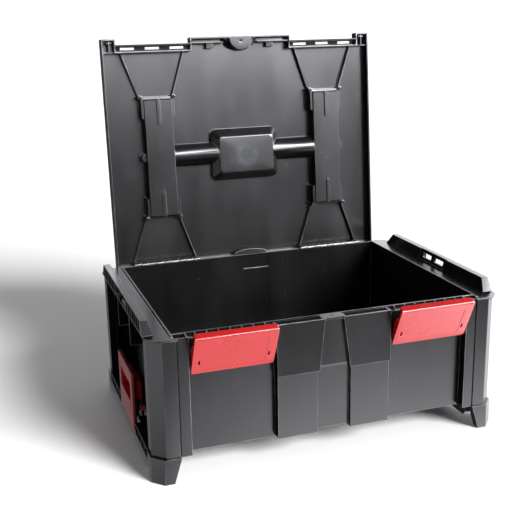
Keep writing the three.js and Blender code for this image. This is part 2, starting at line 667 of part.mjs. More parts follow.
const diagonalRibs = (side) => [
  slimRib(side * 231.5, 397, side * BOSS.outer, BOSS.front, 2.8, 11, 20),
  slimRib(side * 111, 397, side * BOSS.inner, BOSS.front, 2.8, 11, 20),
  slimRib(side * 233, -4, side * BOSS.outer, BOSS.rear, 2.8, 11, 20),
  slimRib(side * 107.5, -4, side * BOSS.inner, BOSS.rear, 2.8, 11, 20),
];

const planRect = (x0, x1, s0, s1, r, steps = 4) => roundedRect(x0, x1, -s1, -s0, r, steps);

// One of the two long wells that take the handle's arms, seen as boxes on the lid's inside. Its face
// edges are rounded, and so are the lugs beside it and the ribs that cover the arms' sliding tracks.
function armWell(side) {
  const { inner, outer, rear, front, low, mid } = WELL;
  const centre = (inner + outer) / 2;
  const face = planRect(inner + 0.8, outer - 0.8, rear + 2.6, front - 2.6, 2.5);
  const base = planRect(inner, outer, rear, front, 3);
  const starts = [rear, front - GROOVE.length];
  const lugs = [inner - 2, outer + 2].flatMap((x) => [rear, front - LUG.length].map((s) => {
    const plan = planRect(x - LUG.half, x + LUG.half, s, s + LUG.length, LUG.half - 0.1);
    return prism('z', mirrorX(side, plan), -1, 20);
  }));
  const grooves = starts.map((s) => prism(
    'z', mirrorX(side, planRect(centre - GROOVE.half, centre + GROOVE.half, s, s + GROOVE.length, 3.3)),
    GROOVE.low, 0,
  ));
  return [
    loft(mirrorX(side, face), low, mirrorX(side, base), low + WELL.wall),
    prism('z', mirrorX(side, base), low + WELL.wall - 0.01, 20),
    ...lugs,
    ...grooves,
    lidBox(side * BOSS.inner, side * BOSS.outer, front - 1, BOSS.front, 4, 20),
    lidBox(side * BOSS.inner, side * BOSS.outer, BOSS.rear, rear + 1, 4, 20),
    rod('z', 8, 2, 20, side * (outer + 1), -mid),
  ];
}

function armWellCore(side) {
  const { inner, outer, rear, front, low, wall } = WELL;
  const x = (inner + outer) / 2;
  return [
    lidBox(side * (inner + wall), side * (outer - wall), rear + wall, front - wall, low + wall, 30),
    ...[rear + wall, front - wall - 44].map((s) => (
      lidBox(side * (x - GROOVE.bore), side * (x + GROOVE.bore), s, s + 44, GROOVE.low + 2, 0)
    )),
  ];
}

const BOSS_SPOTS = [BOSS.inner, BOSS.outer].flatMap((x) => [BOSS.rear, BOSS.front].map((s) => [x, s]));

const bossCore = (side, [x, s]) => rod('z', BOSS.bore, BOSS.end - 1, 30, side * x, -s, 10);

// The finger cup in the middle of the handle, its face edges rounded off in two steps.
function fingerCup() {
  const { half, rear, front, faceHalf, faceRear, faceFront, kneeT, round } = CUP;
  const wide = planRect(-half, half, rear, front, 12);
  const face = (inset) => (
    planRect(-faceHalf + inset, faceHalf - inset, faceRear + inset, faceFront - inset, 6)
  );
  return [
    loft(face(round), WELL.low, face(round * 0.3), WELL.low + round * 0.3),
    loft(face(round * 0.3), WELL.low + round * 0.3, face(-round * 0.1), WELL.low + round),
    loft(face(-round * 0.1), WELL.low + round, wide, kneeT),
    prism('z', wide, kneeT - 0.01, 20),
  ];
}

function fingerCupCore() {
  const { half, rear, front, faceHalf, faceRear, faceFront, kneeT, round } = CUP;
  const w = WELL.wall;
  const wide = planRect(-half + w, half - w, rear + w, front - w, 10);
  const face = planRect(-faceHalf + w, faceHalf - w, faceRear + w, faceFront - w, 4);
  return [loft(face, WELL.low + round, wide, kneeT), prism('z', wide, kneeT - 0.01, 30)];
}

// The finger scoop in the lid's front edge, a half oval that narrows inwards, and its hollow.
function scoop(inset) {
  const edge = -(LID.front - LID.skin);
  const loop = (half, reach) => arc(0, edge, half - inset, 0, 180, 12, reach - inset);
  const low = loop(SCOOP.halfLow, SCOOP.reachLow);
  const high = loop(SCOOP.half, SCOOP.reach);
  return loft(low, SCOOP.lowT + inset, high, LID.top - 2 + inset);
}

// Shallow round marks: three plain ones in the corner, one where the plastic entered, and the ejectors'.
const lidMarks = () => [
  ...[154, 176, 198].map((x) => (
    rod('z', 4.2, LID.top - LID.skin - 1, LID.top - LID.skin + 0.3, x, -47, 16)
  )),
  rod('z', 10, WELL.low - 1, WELL.low + 0.25, 0, -198, 24),
  ...SIDES.flatMap((side) => [222, 182].map((s) => (
    rod('z', 4.5, WELL.low - 1, WELL.low + 0.3, side * 169, -s, 16)
  ))),
];

function trough(side, r, high) {
  const outline = [
    ...arc(-WELL.mid, TROUGH.t, r, 180, 360, 20), [-WELL.mid + r, high], [-WELL.mid - r, high],
  ];
  return prism('x', outline, side * (CUP.half - 12), side * (WELL.inner + 3));
}

function lidKnuckles(side) {
  return hingeStations('lid').map(([from, to]) => rod('x', HINGE.barrel, side * from, side * to, 0, 0));
}

const tubKnuckleRoom = (side) => hingeStations('tub').map(([from, to]) => (
  rod('x', HINGE.barrel + 1.5, side * (from - HINGE.gap), side * (to + HINGE.gap), 0, 0)
));

function rearTongue() {
  return prism('z', [...arc(0, -1, 33, 180, 360, 12, 8), [33, 4], [-33, 4]], LID.edge, 4);
}

function buildLid() {
  const body = join([
    lidShell(),
    ...lidFrontDetail(),
    ...SIDES.flatMap(diagonalRibs),
    ...SIDES.flatMap(armWell),
    ...SIDES.flatMap((side) => BOSS_SPOTS.map(([x, s]) => rod('z', BOSS.r, BOSS.end, 20, side * x, -s))),
    ...fingerCup(),
    ...SIDES.map((side) => trough(side, TROUGH.r, 20)),
    rearTongue(),
    scoop(0),
  ]);
  const cored = cut(body, [
    ...ledgeSlots(),
    ...SIDES.flatMap(armWellCore),
    ...SIDES.flatMap((side) => BOSS_SPOTS.map((spot) => bossCore(side, spot))),
    ...fingerCupCore(),
    ...SIDES.map((side) => trough(side, TROUGH.inner, 30)),
    scoop(SCOOP.wall),
    ...lidMarks(),
    rod('z', 2.7, 0, 6, 0, -412),
    prism('z', planRect(-9, 9, 403, 411.5, 4), 5, 30),
    ...SIDES.flatMap(tubKnuckleRoom),
  ]);
  const gateNub = rod('z', 1.5, WELL.low - 0.4, WELL.low + 1, 0, -198, 10);
  return cut(join([cored, gateNub, ...SIDES.flatMap(lidKnuckles)]), SIDES.map((side) => (
    rod('x', PIN.bore, side * 100, side * 240, 0, 0)
  )));
}

// ---------------------------------------------------------------- handle, in the lid's frame

const oval = (halfS, halfT, steps = 20) => (
  arc(-WELL.mid, GRIP.t, halfS, 0, 360 - 360 / steps, steps - 1, halfT)
);

// The grip bar and the block at each end that the four arms are pinned to.
function buildGrip() {
  const blocks = SIDES.map((side) => lidBox(
    side * BLOCK.inner, side * BLOCK.outer, WELL.mid - BLOCK.halfS, WELL.mid + BLOCK.halfS,
    BLOCK.low, BLOCK.high,
  ));
  const body = join([prism('x', oval(GRIP.halfS, GRIP.halfT), -GRIP.end, GRIP.end), ...blocks]);
  const forks = SIDES.flatMap((side) => ENDS.map((end) => lidBox(
    side * (ARM.inner - 0.5), side * (ARM.outer + 0.5),
    WELL.mid + end * 5, WELL.mid + end * (BLOCK.halfS + 1), BLOCK.low - 1, 14,
  )));
  const bores = SIDES.flatMap((side) => ENDS.map((end) => rod(
    'x', PIN.bore, side * (BLOCK.inner - 1), side * (BLOCK.outer + 1), -WELL.mid - end * ARM.pivotS, ARM.t,
  )));
  return cut(body, [...forks, ...bores]);
}

const buildSleeve = () => prism('x', oval(17, 10.9), -50, 50, [oval(GRIP.halfS + GAP, GRIP.halfT + GAP)]);

// One arm from its pin on the grip (end -1 is towards the hinge) to the stud that slides in the well.
function buildArm(side, end) {
  const pivot = WELL.mid + end * ARM.pivotS;
  const tip = pivot + end * ARM.length;
  const half = ARM.thick / 2;
  const body = join([
    rod('x', ARM.barrel, side * ARM.inner, side * ARM.outer, -pivot, ARM.t),
    lidBox(side * ARM.inner, side * ARM.outer, pivot, tip, ARM.t - half, ARM.t + half),
    rod('x', ARM.end, side * (ARM.inner - 4), side * (ARM.outer + 4), -tip, ARM.t),
    rod('z', 1.4, -4.3, ARM.t, side * 169, -tip),
  ]);
  return cut(body, [rod('x', PIN.bore, side * 140, side * 200, -pivot, ARM.t)]);
}

// The cap over the outer end of a well, with the block that keeps the arm down and two sunk screw seats.
function buildWellCap(side, end) {
  const toS = (s) => (end > 0 ? s : 2 * WELL.mid - s - 1);
  const bossS = end > 0 ? BOSS.front : BOSS.rear;
  const plan = planRect(CAP.inner, CAP.outer, ...[toS(CAP.from), toS(CAP.to)].sort((a, b) => a - b), 4);
  const body = join([
    prism('z', mirrorX(side, plan), CAP.low, CAP.high),
    lidBox(side * 147, side * 191, toS(286), toS(305), CAP.blockLow, CAP.low + 1),
  ]);
  return cut(body, [BOSS.inner, BOSS.outer].flatMap((x) => [
    rod('z', 3.6, CAP.seat, CAP.high + 1, side * x, -bossS),
    rod('z', 1.8, CAP.low - 1, CAP.high + 1, side * x, -bossS, 10),
  ]));
}

// A screw driven from the lid's outside, with a cross recess in its head.
function buildScrew(x, s) {
  const body = join([
    rod('z', 3.1, CAP.seat + GAP, CAP.high - 0.2, x, -s, 16),
    rod('z', 1.35, 8, CAP.seat + 1, x, -s, 8),
  ]);
  return cut(body, [
    box(x - 1.8, x + 1.8, -s - 0.35, -s + 0.35, CAP.high - 0.9, CAP.high),
    box(x - 0.35, x + 0.35, -s - 1.8, -s + 1.8, CAP.high - 0.9, CAP.high),
  ]);
}

// ---------------------------------------------------------------- assembly

function place(group, name, body, material) {
  const mesh = new THREE.Mesh(toGeometry(body), material);
  mesh.name = name;
  group.add(mesh);
  return mesh;
}

const sideName = (side) => (side < 0 ? 'left' : 'right');
const endName = (end) => (end < 0 ? 'rear' : 'front');

const caseGroup = new THREE.Group();
const lidGroup = new THREE.Group();
lidGroup.position.set(0, HINGE.y, HINGE.z);
lidGroup.rotation.x = -THREE.MathUtils.degToRad(90 + HINGE.lean);
caseGroup.add(lidGroup);

place(caseGroup, 'tub', buildTub(), blackPlastic());
place(lidGroup, 'lid', buildLid(), blackPlastic());
place(lidGroup, 'handle_grip', buildGrip(), blackPlastic());
place(lidGroup, 'handle_sleeve', buildSleeve(), rubber());

for (const side of SIDES) {
  const name = sideName(side);
  place(caseGroup, `${name}_top_rail`, buildTopRail(side), blackPlastic());
  place(caseGroup, `${name}_base_rail`, buildBaseRail(side), blackPlastic());
  place(caseGroup, `${name}_flap_face`, buildFlapFace(side), redPlastic());
  place(caseGroup, `${name}_flap_carrier`, buildFlapCarrier(side), blackPlastic());

  place(caseGroup, `${name}_flap_pin`, buildFlapPin(side), blackPlastic());
  const spring = place(caseGroup, `${name}_flap_spring`, buildFlapSpring(), metal());
  spring.position.set(side * FLAP.pivotX, MID_Y - (FLAP.capFrom + FLAP.lugTo) / 2, FLAP.pivotZ);

  const hingePin = rod('x', PIN.r, side * (HINGE.from - 0.5), side * (HINGE.to + 0.5), HINGE.y, HINGE.z);
  place(caseGroup, `${name}_hinge_pin`, hingePin, metal());
  const latchPin = rod('x', PIN.r, side * 119, side * 217, LATCH.pivotY, LATCH.pivotZ);
  place(caseGroup, `${name}_latch_pin`, latchPin, metal());

  const latch = place(caseGroup, `${name}_latch`, buildLatch(side), redPlastic());
  latch.position.set(0, LATCH.pivotY, LATCH.pivotZ);
  latch.rotation.x = THREE.MathUtils.degToRad(LATCH.open);

  for (const end of ENDS) {
    const where = `${name}_${endName(end)}`;
    place(caseGroup, `${where}_pin_cap`, buildPinCap(side, end), redPlastic());
    place(lidGroup, `${where}_arm`, buildArm(side, end), blackPlastic());
    const pivotY = -WELL.mid - end * ARM.pivotS;
    const armPin = rod('x', PIN.r, side * (BLOCK.inner + 0.5), side * (BLOCK.outer - 0.5), pivotY, ARM.t);
    place(lidGroup, `${where}_arm_pin`, armPin, metal());
    place(lidGroup, `${where}_well_cap`, buildWellCap(side, end), blackPlastic());
    const bossS = end > 0 ? BOSS.front : BOSS.rear;
    place(lidGroup, `${where}_inner_screw`, buildScrew(side * BOSS.inner, bossS), metal());
    place(lidGroup, `${where}_outer_screw`, buildScrew(side * BOSS.outer, bossS), metal());
  }
}

// Centre the open case, from the latches' front edge to the back of the lid, over the origin.
caseGroup.updateMatrixWorld(true);
const extent = new THREE.Box3().setFromObject(caseGroup, true);
caseGroup.position.y = -(extent.min.y + extent.max.y) / 2;
caseGroup.updateMatrixWorld(true);

export default caseGroup;
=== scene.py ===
import json
import math

import bmesh
import bpy
from mathutils import Matrix, Vector
from mathutils.bvhtree import BVHTree


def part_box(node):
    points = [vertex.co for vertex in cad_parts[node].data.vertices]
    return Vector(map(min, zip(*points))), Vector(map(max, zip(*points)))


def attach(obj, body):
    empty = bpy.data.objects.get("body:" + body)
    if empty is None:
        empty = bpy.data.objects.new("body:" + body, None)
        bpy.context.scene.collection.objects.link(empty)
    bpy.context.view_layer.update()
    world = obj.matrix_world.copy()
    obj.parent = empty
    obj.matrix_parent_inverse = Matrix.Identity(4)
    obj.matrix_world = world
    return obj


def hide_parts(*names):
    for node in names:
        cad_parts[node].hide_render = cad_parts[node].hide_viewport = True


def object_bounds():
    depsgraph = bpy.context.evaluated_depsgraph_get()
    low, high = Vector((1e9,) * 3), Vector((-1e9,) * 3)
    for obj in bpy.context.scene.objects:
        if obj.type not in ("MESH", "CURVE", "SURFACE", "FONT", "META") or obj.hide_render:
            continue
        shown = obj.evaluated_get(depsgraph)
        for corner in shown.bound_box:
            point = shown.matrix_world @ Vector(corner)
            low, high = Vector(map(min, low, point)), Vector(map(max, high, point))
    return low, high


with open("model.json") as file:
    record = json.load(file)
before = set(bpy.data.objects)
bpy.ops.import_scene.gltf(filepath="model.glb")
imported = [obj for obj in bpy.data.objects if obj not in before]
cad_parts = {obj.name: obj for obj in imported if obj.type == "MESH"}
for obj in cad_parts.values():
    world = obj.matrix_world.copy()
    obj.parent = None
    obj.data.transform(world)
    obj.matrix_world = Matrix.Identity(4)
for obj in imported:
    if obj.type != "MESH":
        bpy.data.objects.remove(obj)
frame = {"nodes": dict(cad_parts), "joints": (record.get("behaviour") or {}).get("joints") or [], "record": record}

# ---------------------------------------------------------------- places taken from the frame

CAD_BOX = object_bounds()
FRONT_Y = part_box("left_top_rail")[0].y
SLOT_OF_NODE = {row["node"]: row["material_slot"] for row in frame["record"]["subparts"]}
BODY_OF_NODE = {
    node: body for body, nodes in frame["record"]["behaviour"]["bodies"].items() for node in nodes
}
LID_HINGE = next(joint for joint in frame["joints"] if joint["name"] == "lid_hinge")

# In the lid's own frame x runs across, -y forward from the hinge and z out of the closed lid.
LID_LEAN = math.radians(LID_HINGE["range_deg"][1])
LID_FRAME = Matrix.Translation(Vector(LID_HINGE["pos_m"])) @ Matrix.Rotation(-LID_LEAN, 4, "X")
LID_PULL = LID_FRAME.col[2].to_3d()
WELL_FACE_Z = -0.004

# The mark where the plastic entered the lid, and the marks of the ejectors on its wells.
GATE_RADIUS = 0.0115
LID_GATE = LID_FRAME @ Vector((0, -0.198, WELL_FACE_Z))
EJECTOR_RADIUS = 0.0045
LID_EJECTORS = [
    LID_FRAME @ Vector((x, y, WELL_FACE_Z)) for x in (-0.169, 0.169) for y in (-0.222, -0.182)
]


# ---------------------------------------------------------------- node materials

def math_node(tree, operation, *values):
    """A maths node. Each value is a number or a socket."""
    node = tree.nodes.new("ShaderNodeMath")
    node.operation = operation
    for socket, value in zip(node.inputs, values):
        if isinstance(value, (int, float)):
            socket.default_value = value
        else:
            tree.links.new(value, socket)
    return node.outputs["Value"]


def fade_node(tree, value, low, high, out_low, out_high):
    """Runs smoothly from one output to the other while the value goes from low to high."""
    node = tree.nodes.new("ShaderNodeMapRange")
    node.interpolation_type = "SMOOTHSTEP"
    node.inputs["From Min"].default_value = low
    node.inputs["From Max"].default_value = high
    node.inputs["To Min"].default_value = out_low
    node.inputs["To Max"].default_value = out_high
    tree.links.new(value, node.inputs["Value"])
    return node.outputs["Result"]


class Nodes:
    """A material's node tree, with short calls for the few kinds of node used here."""

    def __init__(self, name, slot_colour, roughness):
        self.material = bpy.data.materials.new(name)
        self.material.use_nodes = True
        self.tree = self.material.node_tree
        self.shader = self.tree.nodes["Principled BSDF"]
        self.shader.inputs["Base Color"].default_value = (*slot_colour, 1)
        self.shader.inputs["Roughness"].default_value = roughness
        coordinates = self.tree.nodes.new("ShaderNodeTexCoord")
        self.place = coordinates.outputs["Object"]
        self.normal = coordinates.outputs["Normal"]
        self.bump = None

    def link(self, source, target):
        self.tree.links.new(source, target)

    def noise(self, scale, detail=4.0, stretch=(1, 1, 1), roughness=0.55):
        mapping = self.tree.nodes.new("ShaderNodeMapping")
        mapping.inputs["Scale"].default_value = stretch
        self.link(self.place, mapping.inputs["Vector"])
        texture = self.tree.nodes.new("ShaderNodeTexNoise")
        texture.inputs["Scale"].default_value = scale
        texture.inputs["Detail"].default_value = detail
        texture.inputs["Roughness"].default_value = roughness
        self.link(mapping.outputs["Vector"], texture.inputs["Vector"])
        return texture.outputs["Fac"]

    def scratches(self, scale, angle, width=0.035):
        """Fine broken lines: one contour of a stretched noise, thinned out by a second noise."""
        mapping = self.tree.nodes.new("ShaderNodeMapping")
        mapping.inputs["Rotation"].default_value = (angle, angle * 0.7, angle)
        mapping.inputs["Scale"].default_value = (1, 0.12, 0.5)
        self.link(self.place, mapping.inputs["Vector"])
        texture = self.tree.nodes.new("ShaderNodeTexNoise")
        texture.inputs["Scale"].default_value = scale
        texture.inputs["Detail"].default_value = 1.5
        texture.inputs["Distortion"].default_value = 0.6
        self.link(mapping.outputs["Vector"], texture.inputs["Vector"])
        middle = self.math("SUBTRACT", texture.outputs["Fac"], 0.5)
        line = self.ramp(self.math("ABSOLUTE", middle), 0.0, width, 1.0, 0.0)
        patches = self.ramp(self.noise(scale * 0.35, 2), 0.52, 0.66, 0.0, 1.0)
        return self.math("MULTIPLY", line, patches)

    def facing(self, direction):
        """How squarely a surface faces along a direction, either way: 1 square, 0 edge on."""
        dot = self.tree.nodes.new("ShaderNodeVectorMath")
        dot.operation = "DOT_PRODUCT"
        dot.inputs[1].default_value = direction
        self.link(self.normal, dot.inputs[0])
        return self.math("ABSOLUTE", dot.outputs["Value"])

    def distance(self, centre):
        """How far a point of the surface is from a place on the piece."""
        away = self.tree.nodes.new("ShaderNodeVectorMath")
        away.operation = "DISTANCE"
        away.inputs[1].default_value = centre
        self.link(self.place, away.inputs[0])
        return away.outputs["Value"]

    def ring(self, centre, radius, line=0.0013):
        """1 on a thin circle about a place on the piece, fading to 0 on both sides of it."""
        off = self.math("SUBTRACT", self.distance(centre), radius)
        return self.ramp(self.math("ABSOLUTE", off), 0.0, line, 1.0, 0.0)

    def math(self, operation, *values):
        return math_node(self.tree, operation, *values)

    def ramp(self, value, low, high, out_low, out_high):
        return fade_node(self.tree, value, low, high, out_low, out_high)

    def blend(self, factor, first, second):
        """A colour between two others. Each is an RGB tuple or a socket."""
        node = self.tree.nodes.new("ShaderNodeMix")
        node.data_type = "RGBA"
        sockets = [s for s in node.inputs if s.type == "RGBA"]
        for socket, value in zip(sockets, (first, second)):
            if isinstance(value, tuple):
                socket.default_value = (*value, 1)
            else:
                self.link(value, socket)
        self.link(factor, node.inputs["Factor"])
        return [s for s in node.outputs if s.type == "RGBA"][0]

    def add_bump(self, height, distance, strength=1.0):
        """Stacks one more layer of surface relief on those added before."""
        node = self.tree.nodes.new("ShaderNodeBump")
        node.inputs["Distance"].default_value = distance
        node.inputs["Strength"].default_value = strength
        self.link(height, node.inputs["Height"])
        if self.bump:
            self.link(self.bump, node.inputs["Normal"])
        self.bump = node.outputs["Normal"]

    def finish(self, colour=None, roughness=None):
        if colour:
            self.link(colour, self.shader.inputs["Base Color"])
        if roughness:
            self.link(roughness, self.shader.inputs["Roughness"])
        if self.bump:
            self.link(self.bump, self.shader.inputs["Normal"])
        return self.material


def gate_bloom(m, gate):
    """How pale the lid is round the place where the plastic entered: thin rings in a patchy bloom."""
    away = m.distance(gate)
    bloom = m.ramp(away, GATE_RADIUS, 3.2 * GATE_RADIUS, 0.4, 0.0)
    beside = m.ramp(away, GATE_RADIUS, 1.2 * GATE_RADIUS, 0.0, 1.0)
    patches = m.ramp(m.noise(40, 3), 0.3, 0.7, 0.0, 1.0)
    pale = m.math("MULTIPLY", m.math("MULTIPLY", bloom, beside), patches)
    for share in (0.2, 0.6, 1.0):
        ring = m.ring(gate, share * GATE_RADIUS)
        pale = m.math("MAXIMUM", pale, m.math("MULTIPLY", ring, 0.5))
    return pale


def moulded_black(name="moulded_black", pull=None, gate=None, ejectors=()):
    """Satin black plastic: fine grain, slow tone changes, faint hairlines, a little dust.

    Where the mould was pulled off along a direction, the walls along it are dragged and duller.
    Faint rings show where the plastic entered, with a pale bloom round them, and where the
    ejectors pushed.
    """
    m = Nodes(name, (0.003, 0.003, 0.0031), 0.22)
    hairline = m.scratches(90, 0.5, 0.008)
    cloud = m.noise(11, 4, (1, 1, 0.35))
    dust = m.ramp(m.noise(260, 6), 0.68, 0.8, 0.0, 1.0)
    clouded = m.ramp(cloud, 0.3, 0.75, 0.0, 1.0)
    base = m.blend(clouded, (0.002, 0.002, 0.0021), (0.005, 0.0048, 0.005))
    marked = m.blend(m.math("MULTIPLY", hairline, 0.05), base, (0.3, 0.3, 0.31))
    colour = m.blend(m.math("MULTIPLY", dust, 0.03), marked, (0.3, 0.29, 0.28))
    if gate:
        colour = m.blend(gate_bloom(m, gate), colour, (0.065, 0.075, 0.09))
    for centre in ejectors:
        m.add_bump(m.ring(centre, EJECTOR_RADIUS), 0.00007, 0.8)
    smooth = m.ramp(cloud, 0.3, 0.72, 0.2, 0.25)
    roughness = m.math("ADD", smooth, m.math("MULTIPLY", hairline, 0.05))
    if pull:
        dragged = m.ramp(m.facing(pull), 0.5, 0.99, 0.1, 0.0)
        roughness = m.math("ADD", roughness, dragged)
    m.add_bump(m.noise(5, 2), 0.0012, 0.2)
    m.add_bump(m.noise(1500, 2), 0.00004, 0.4)
    return m.finish(colour, roughness)


def moulded_red():
    """Satin red plastic, a little duller in broad patches, with fine grain and a few pale rubs."""
    m = Nodes("moulded_red", (0.33, 0.006, 0.006), 0.3)
    hairline = m.scratches(90, 1.1, 0.01)
    base = m.blend(m.noise(16, 3), (0.315, 0.004, 0.005), (0.37, 0.006, 0.006))
    colour = m.blend(m.math("MULTIPLY", hairline, 0.08), base, (0.7, 0.2, 0.18))
    roughness = m.ramp(m.noise(22, 4), 0.3, 0.7, 0.26, 0.33)
    m.add_bump(m.noise(7, 2), 0.0008, 0.25)
    m.add_bump(m.noise(1700, 2), 0.00004, 0.4)
    return m.finish(colour, roughness)


def worn_and_highlit_edge(name, dark, pale):
    """The rounded edges of a moulding, paler in patches: partly rubbed wear, partly a painted highlight along the
    edges.
    """
    m = Nodes(name, pale, 0.34)
    colour = m.blend(m.ramp(m.noise(45, 5), 0.35, 0.65, 0.0, 1.0), dark, pale)
    roughness = m.ramp(m.noise(60, 3), 0.3, 0.7, 0.28, 0.42)
    m.add_bump(m.noise(1500, 2), 0.00004, 0.4)
    return m.finish(colour, roughness)


def soft_sleeve():
    """Matt rubber with a fine tooth and worn, slightly shinier patches."""
    m = Nodes("soft_sleeve", (0.02, 0.02, 0.02), 0.75)
    colour = m.blend(m.noise(60, 5), (0.012, 0.012, 0.012), (0.035, 0.035, 0.034))
    roughness = m.ramp(m.noise(35, 4), 0.35, 0.7, 0.62, 0.85)
    m.add_bump(m.noise(900, 3), 0.00012, 0.6)
    return m.finish(colour, roughness)


def bright_steel():
    """Drawn steel wire and screws: fine lines along the surface and slight tarnish."""
    m = Nodes("bright_steel", (0.62, 0.62, 0.63), 0.3)
    m.shader.inputs["Metallic"].default_value = 1
    colour = m.blend(m.noise(220, 4), (0.5, 0.5, 0.51), (0.68, 0.68, 0.69))
    roughness = m.ramp(m.noise(300, 3), 0.3, 0.7, 0.22, 0.4)
    m.add_bump(m.noise(700, 2, (0.1, 1, 1)), 0.00004, 0.5)
    return m.finish(colour, roughness)


def pale_floor():
    m = Nodes("pale_floor", (0.86, 0.86, 0.865), 0.6)
    colour = m.blend(m.noise(1.5, 2), (0.85, 0.85, 0.855), (0.88, 0.88, 0.882))
    return m.finish(colour)


# The paler colours of the rounded edges are partly rubbed wear and partly a painted highlight along the edges.
BLACK_EDGE = worn_and_highlit_edge("black_edge", (0.03, 0.03, 0.031), (0.12, 0.12, 0.122))
LID_EDGE = worn_and_highlit_edge("lid_edge", (0.008, 0.008, 0.0082), (0.05, 0.05, 0.051))
RED_EDGE = worn_and_highlit_edge("red_edge", (0.38, 0.018, 0.016), (0.5, 0.05, 0.045))

# The material of the faces, then that of the rounded edges between them where it is another one.
LOOKS_OF_SLOT = {
    "black_plastic": (moulded_black(), BLACK_EDGE),
    "red_plastic": (moulded_red(), RED_EDGE),
    "rubber_sleeve": (soft_sleeve(),),
    "steel": (bright_steel(),),
}
LOOKS_OF_NODE = {
    "lid": (moulded_black("moulded_black_lid", LID_PULL, LID_GATE, LID_EJECTORS), LID_EDGE),
}


# ---------------------------------------------------------------- pieces

# Faces that meet within this angle are one flat face, and points within this distance are one point.
FLAT = math.radians(0.6)
SAME_POINT = 2e-6
# Edges that turn by more than SHARP are rounded. Those that turn by more than SLOPE stay hard where
# they border a face of more than BROAD_FACE square metres, so that it keeps its flat look.
SHARP = math.radians(36)
SLOPE = math.radians(12)
BROAD_FACE = 0.01
# After the rounding, shading runs on over edges that turn by less than this.
SMOOTH = math.radians(38)

# Widths of the rounded edges, and how many of these widths of room a face needs beside one.
SMALL_EDGE = 0.0004
LARGE_EDGE = 0.0007
LARGE_EDGED = {
    "tub", "lid", "left_latch", "right_latch",
    "left_top_rail", "right_top_rail", "left_base_rail", "right_base_rail",
}
EDGE_ROOM = 2.2


def new_object(name, mesh, body, looks):
    obj = bpy.data.objects.new(name, mesh)
    bpy.context.scene.collection.objects.link(obj)
    obj.data.materials.clear()
    for material in looks:
        obj.data.materials.append(material)
    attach(obj, body)
    return obj


def smooth_by_angle(mesh, angle):
    for face in mesh.polygons:
        face.use_smooth = True
    mesh.set_sharp_from_angle(angle=angle)


def with_modifiers(obj):
    """Bakes an object's modifiers into its mesh."""
    graph = bpy.context.evaluated_depsgraph_get()
    mesh = bpy.data.meshes.new_from_object(obj.evaluated_get(graph))
    obj.modifiers.clear()
    obj.data = mesh
    return mesh


def has_room(edge, face, room):
    """True where the rest of a face's outline stays clear of the middle of one of its edges."""
    middle = (edge.verts[0].co + edge.verts[1].co) / 2
    for other in face.edges:
        if other == edge or set(other.verts) & set(edge.verts):
            continue
        start, end = (v.co for v in other.verts)
        along = end - start
        reach = min(1, max(0, (middle - start).dot(along) / max(along.length_squared, 1e-12)))
        if (start + along * reach - middle).length < room:
            return False
    return True


def clean_copy(node, room):
    """The node's mesh with its triangles joined into flat faces.

    Every edge that turns sharply between faces that are wide enough is marked to be rounded. Then
    the faces are cut into triangles again.
    """
    bm = bmesh.new()
    bm.from_mesh(frame["nodes"][node].data)
    bmesh.ops.remove_doubles(bm, verts=bm.verts, dist=SAME_POINT)
    bmesh.ops.dissolve_limit(bm, angle_limit=FLAT, verts=bm.verts, edges=bm.edges)
    weight = bm.edges.layers.float.new("bevel_weight_edge")
    hard = bm.edges.layers.int.new("hard")
    for edge in bm.edges:
        if edge.calc_face_angle(0) > SHARP:
            edge[weight] = float(all(has_room(edge, face, room) for face in edge.link_faces))
        elif edge.calc_face_angle(0) > SLOPE:
            edge[hard] = max(face.calc_area() for face in edge.link_faces) > BROAD_FACE
    bmesh.ops.triangulate(bm, faces=bm.faces)
    mesh = bpy.data.meshes.new(node + "_looks")
    bm.to_mesh(mesh)
    bm.free()
    # The normals that came with the CAD mesh don't fit the joined faces.
    if "custom_normal" in mesh.attributes:
        mesh.attributes.remove(mesh.attributes["custom_normal"])
    return mesh


def soften(obj, width, segments=2):
    """Rounds the marked edges a little, as a mould does.

    A point that ends up further than half the width from the CAD surface is put back on it.
    """
    corners = [vertex.co for vertex in obj.data.vertices]
    surface = BVHTree.FromPolygons(corners, [face.vertices for face in obj.data.polygons])
    bevel = obj.modifiers.new("edges", "BEVEL")
    bevel.width = width
    bevel.segments = segments
    bevel.limit_method = "WEIGHT"
    bevel.use_clamp_overlap = False
    bevel.material = len(obj.data.materials) - 1
    mesh = with_modifiers(obj)
    for vertex in mesh.vertices:
        nearest, _, _, distance = surface.find_nearest(vertex.co)
        if distance > width * 0.5:
            vertex.co = nearest
    smooth_by_angle(mesh, SMOOTH)
    for row, edge in zip(mesh.attributes["hard"].data, mesh.edges):
        edge.use_edge_sharp = edge.use_edge_sharp or bool(row.value)
    normals = obj.modifiers.new("normals", "WEIGHTED_NORMAL")
    normals.keep_sharp = True


def moulded_piece(node):
    """The looks of one CAD node: its own shape with rounded edges."""
    looks = LOOKS_OF_NODE.get(node, LOOKS_OF_SLOT[SLOT_OF_NODE[node]])
    width = LARGE_EDGE if node in LARGE_EDGED else SMALL_EDGE
    mesh = clean_copy(node, width * EDGE_ROOM)
    piece = new_object(node + "_shell", mesh, BODY_OF_NODE[node], looks)
    soften(piece, width)
    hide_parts(node)


for node_name in frame["nodes"]:
    moulded_piece(node_name)


# ---------------------------------------------------------------- floor, light and camera

FLOOR_SIZE = 60.0
# The floor lies this far below the feet, so that the two don't share a surface.
FLOOR_GAP = 0.0002


def build_floor():
    """Pale ground. Gloss mirrors the studio's soft boxes in its place."""
    half = FLOOR_SIZE / 2
    mesh = bpy.data.meshes.new("floor")
    corners = [(-half, -half, 0), (half, -half, 0), (half, half, 0), (-half, half, 0)]
    mesh.from_pydata(corners, [], [(0, 1, 2, 3)])
    mesh.materials.append(pale_floor())
    floor = bpy.data.objects.new("floor", mesh)
    bpy.context.scene.collection.objects.link(floor)
    floor.location.z = CAD_BOX[0].z - FLOOR_GAP
    floor.visible_glossy = False


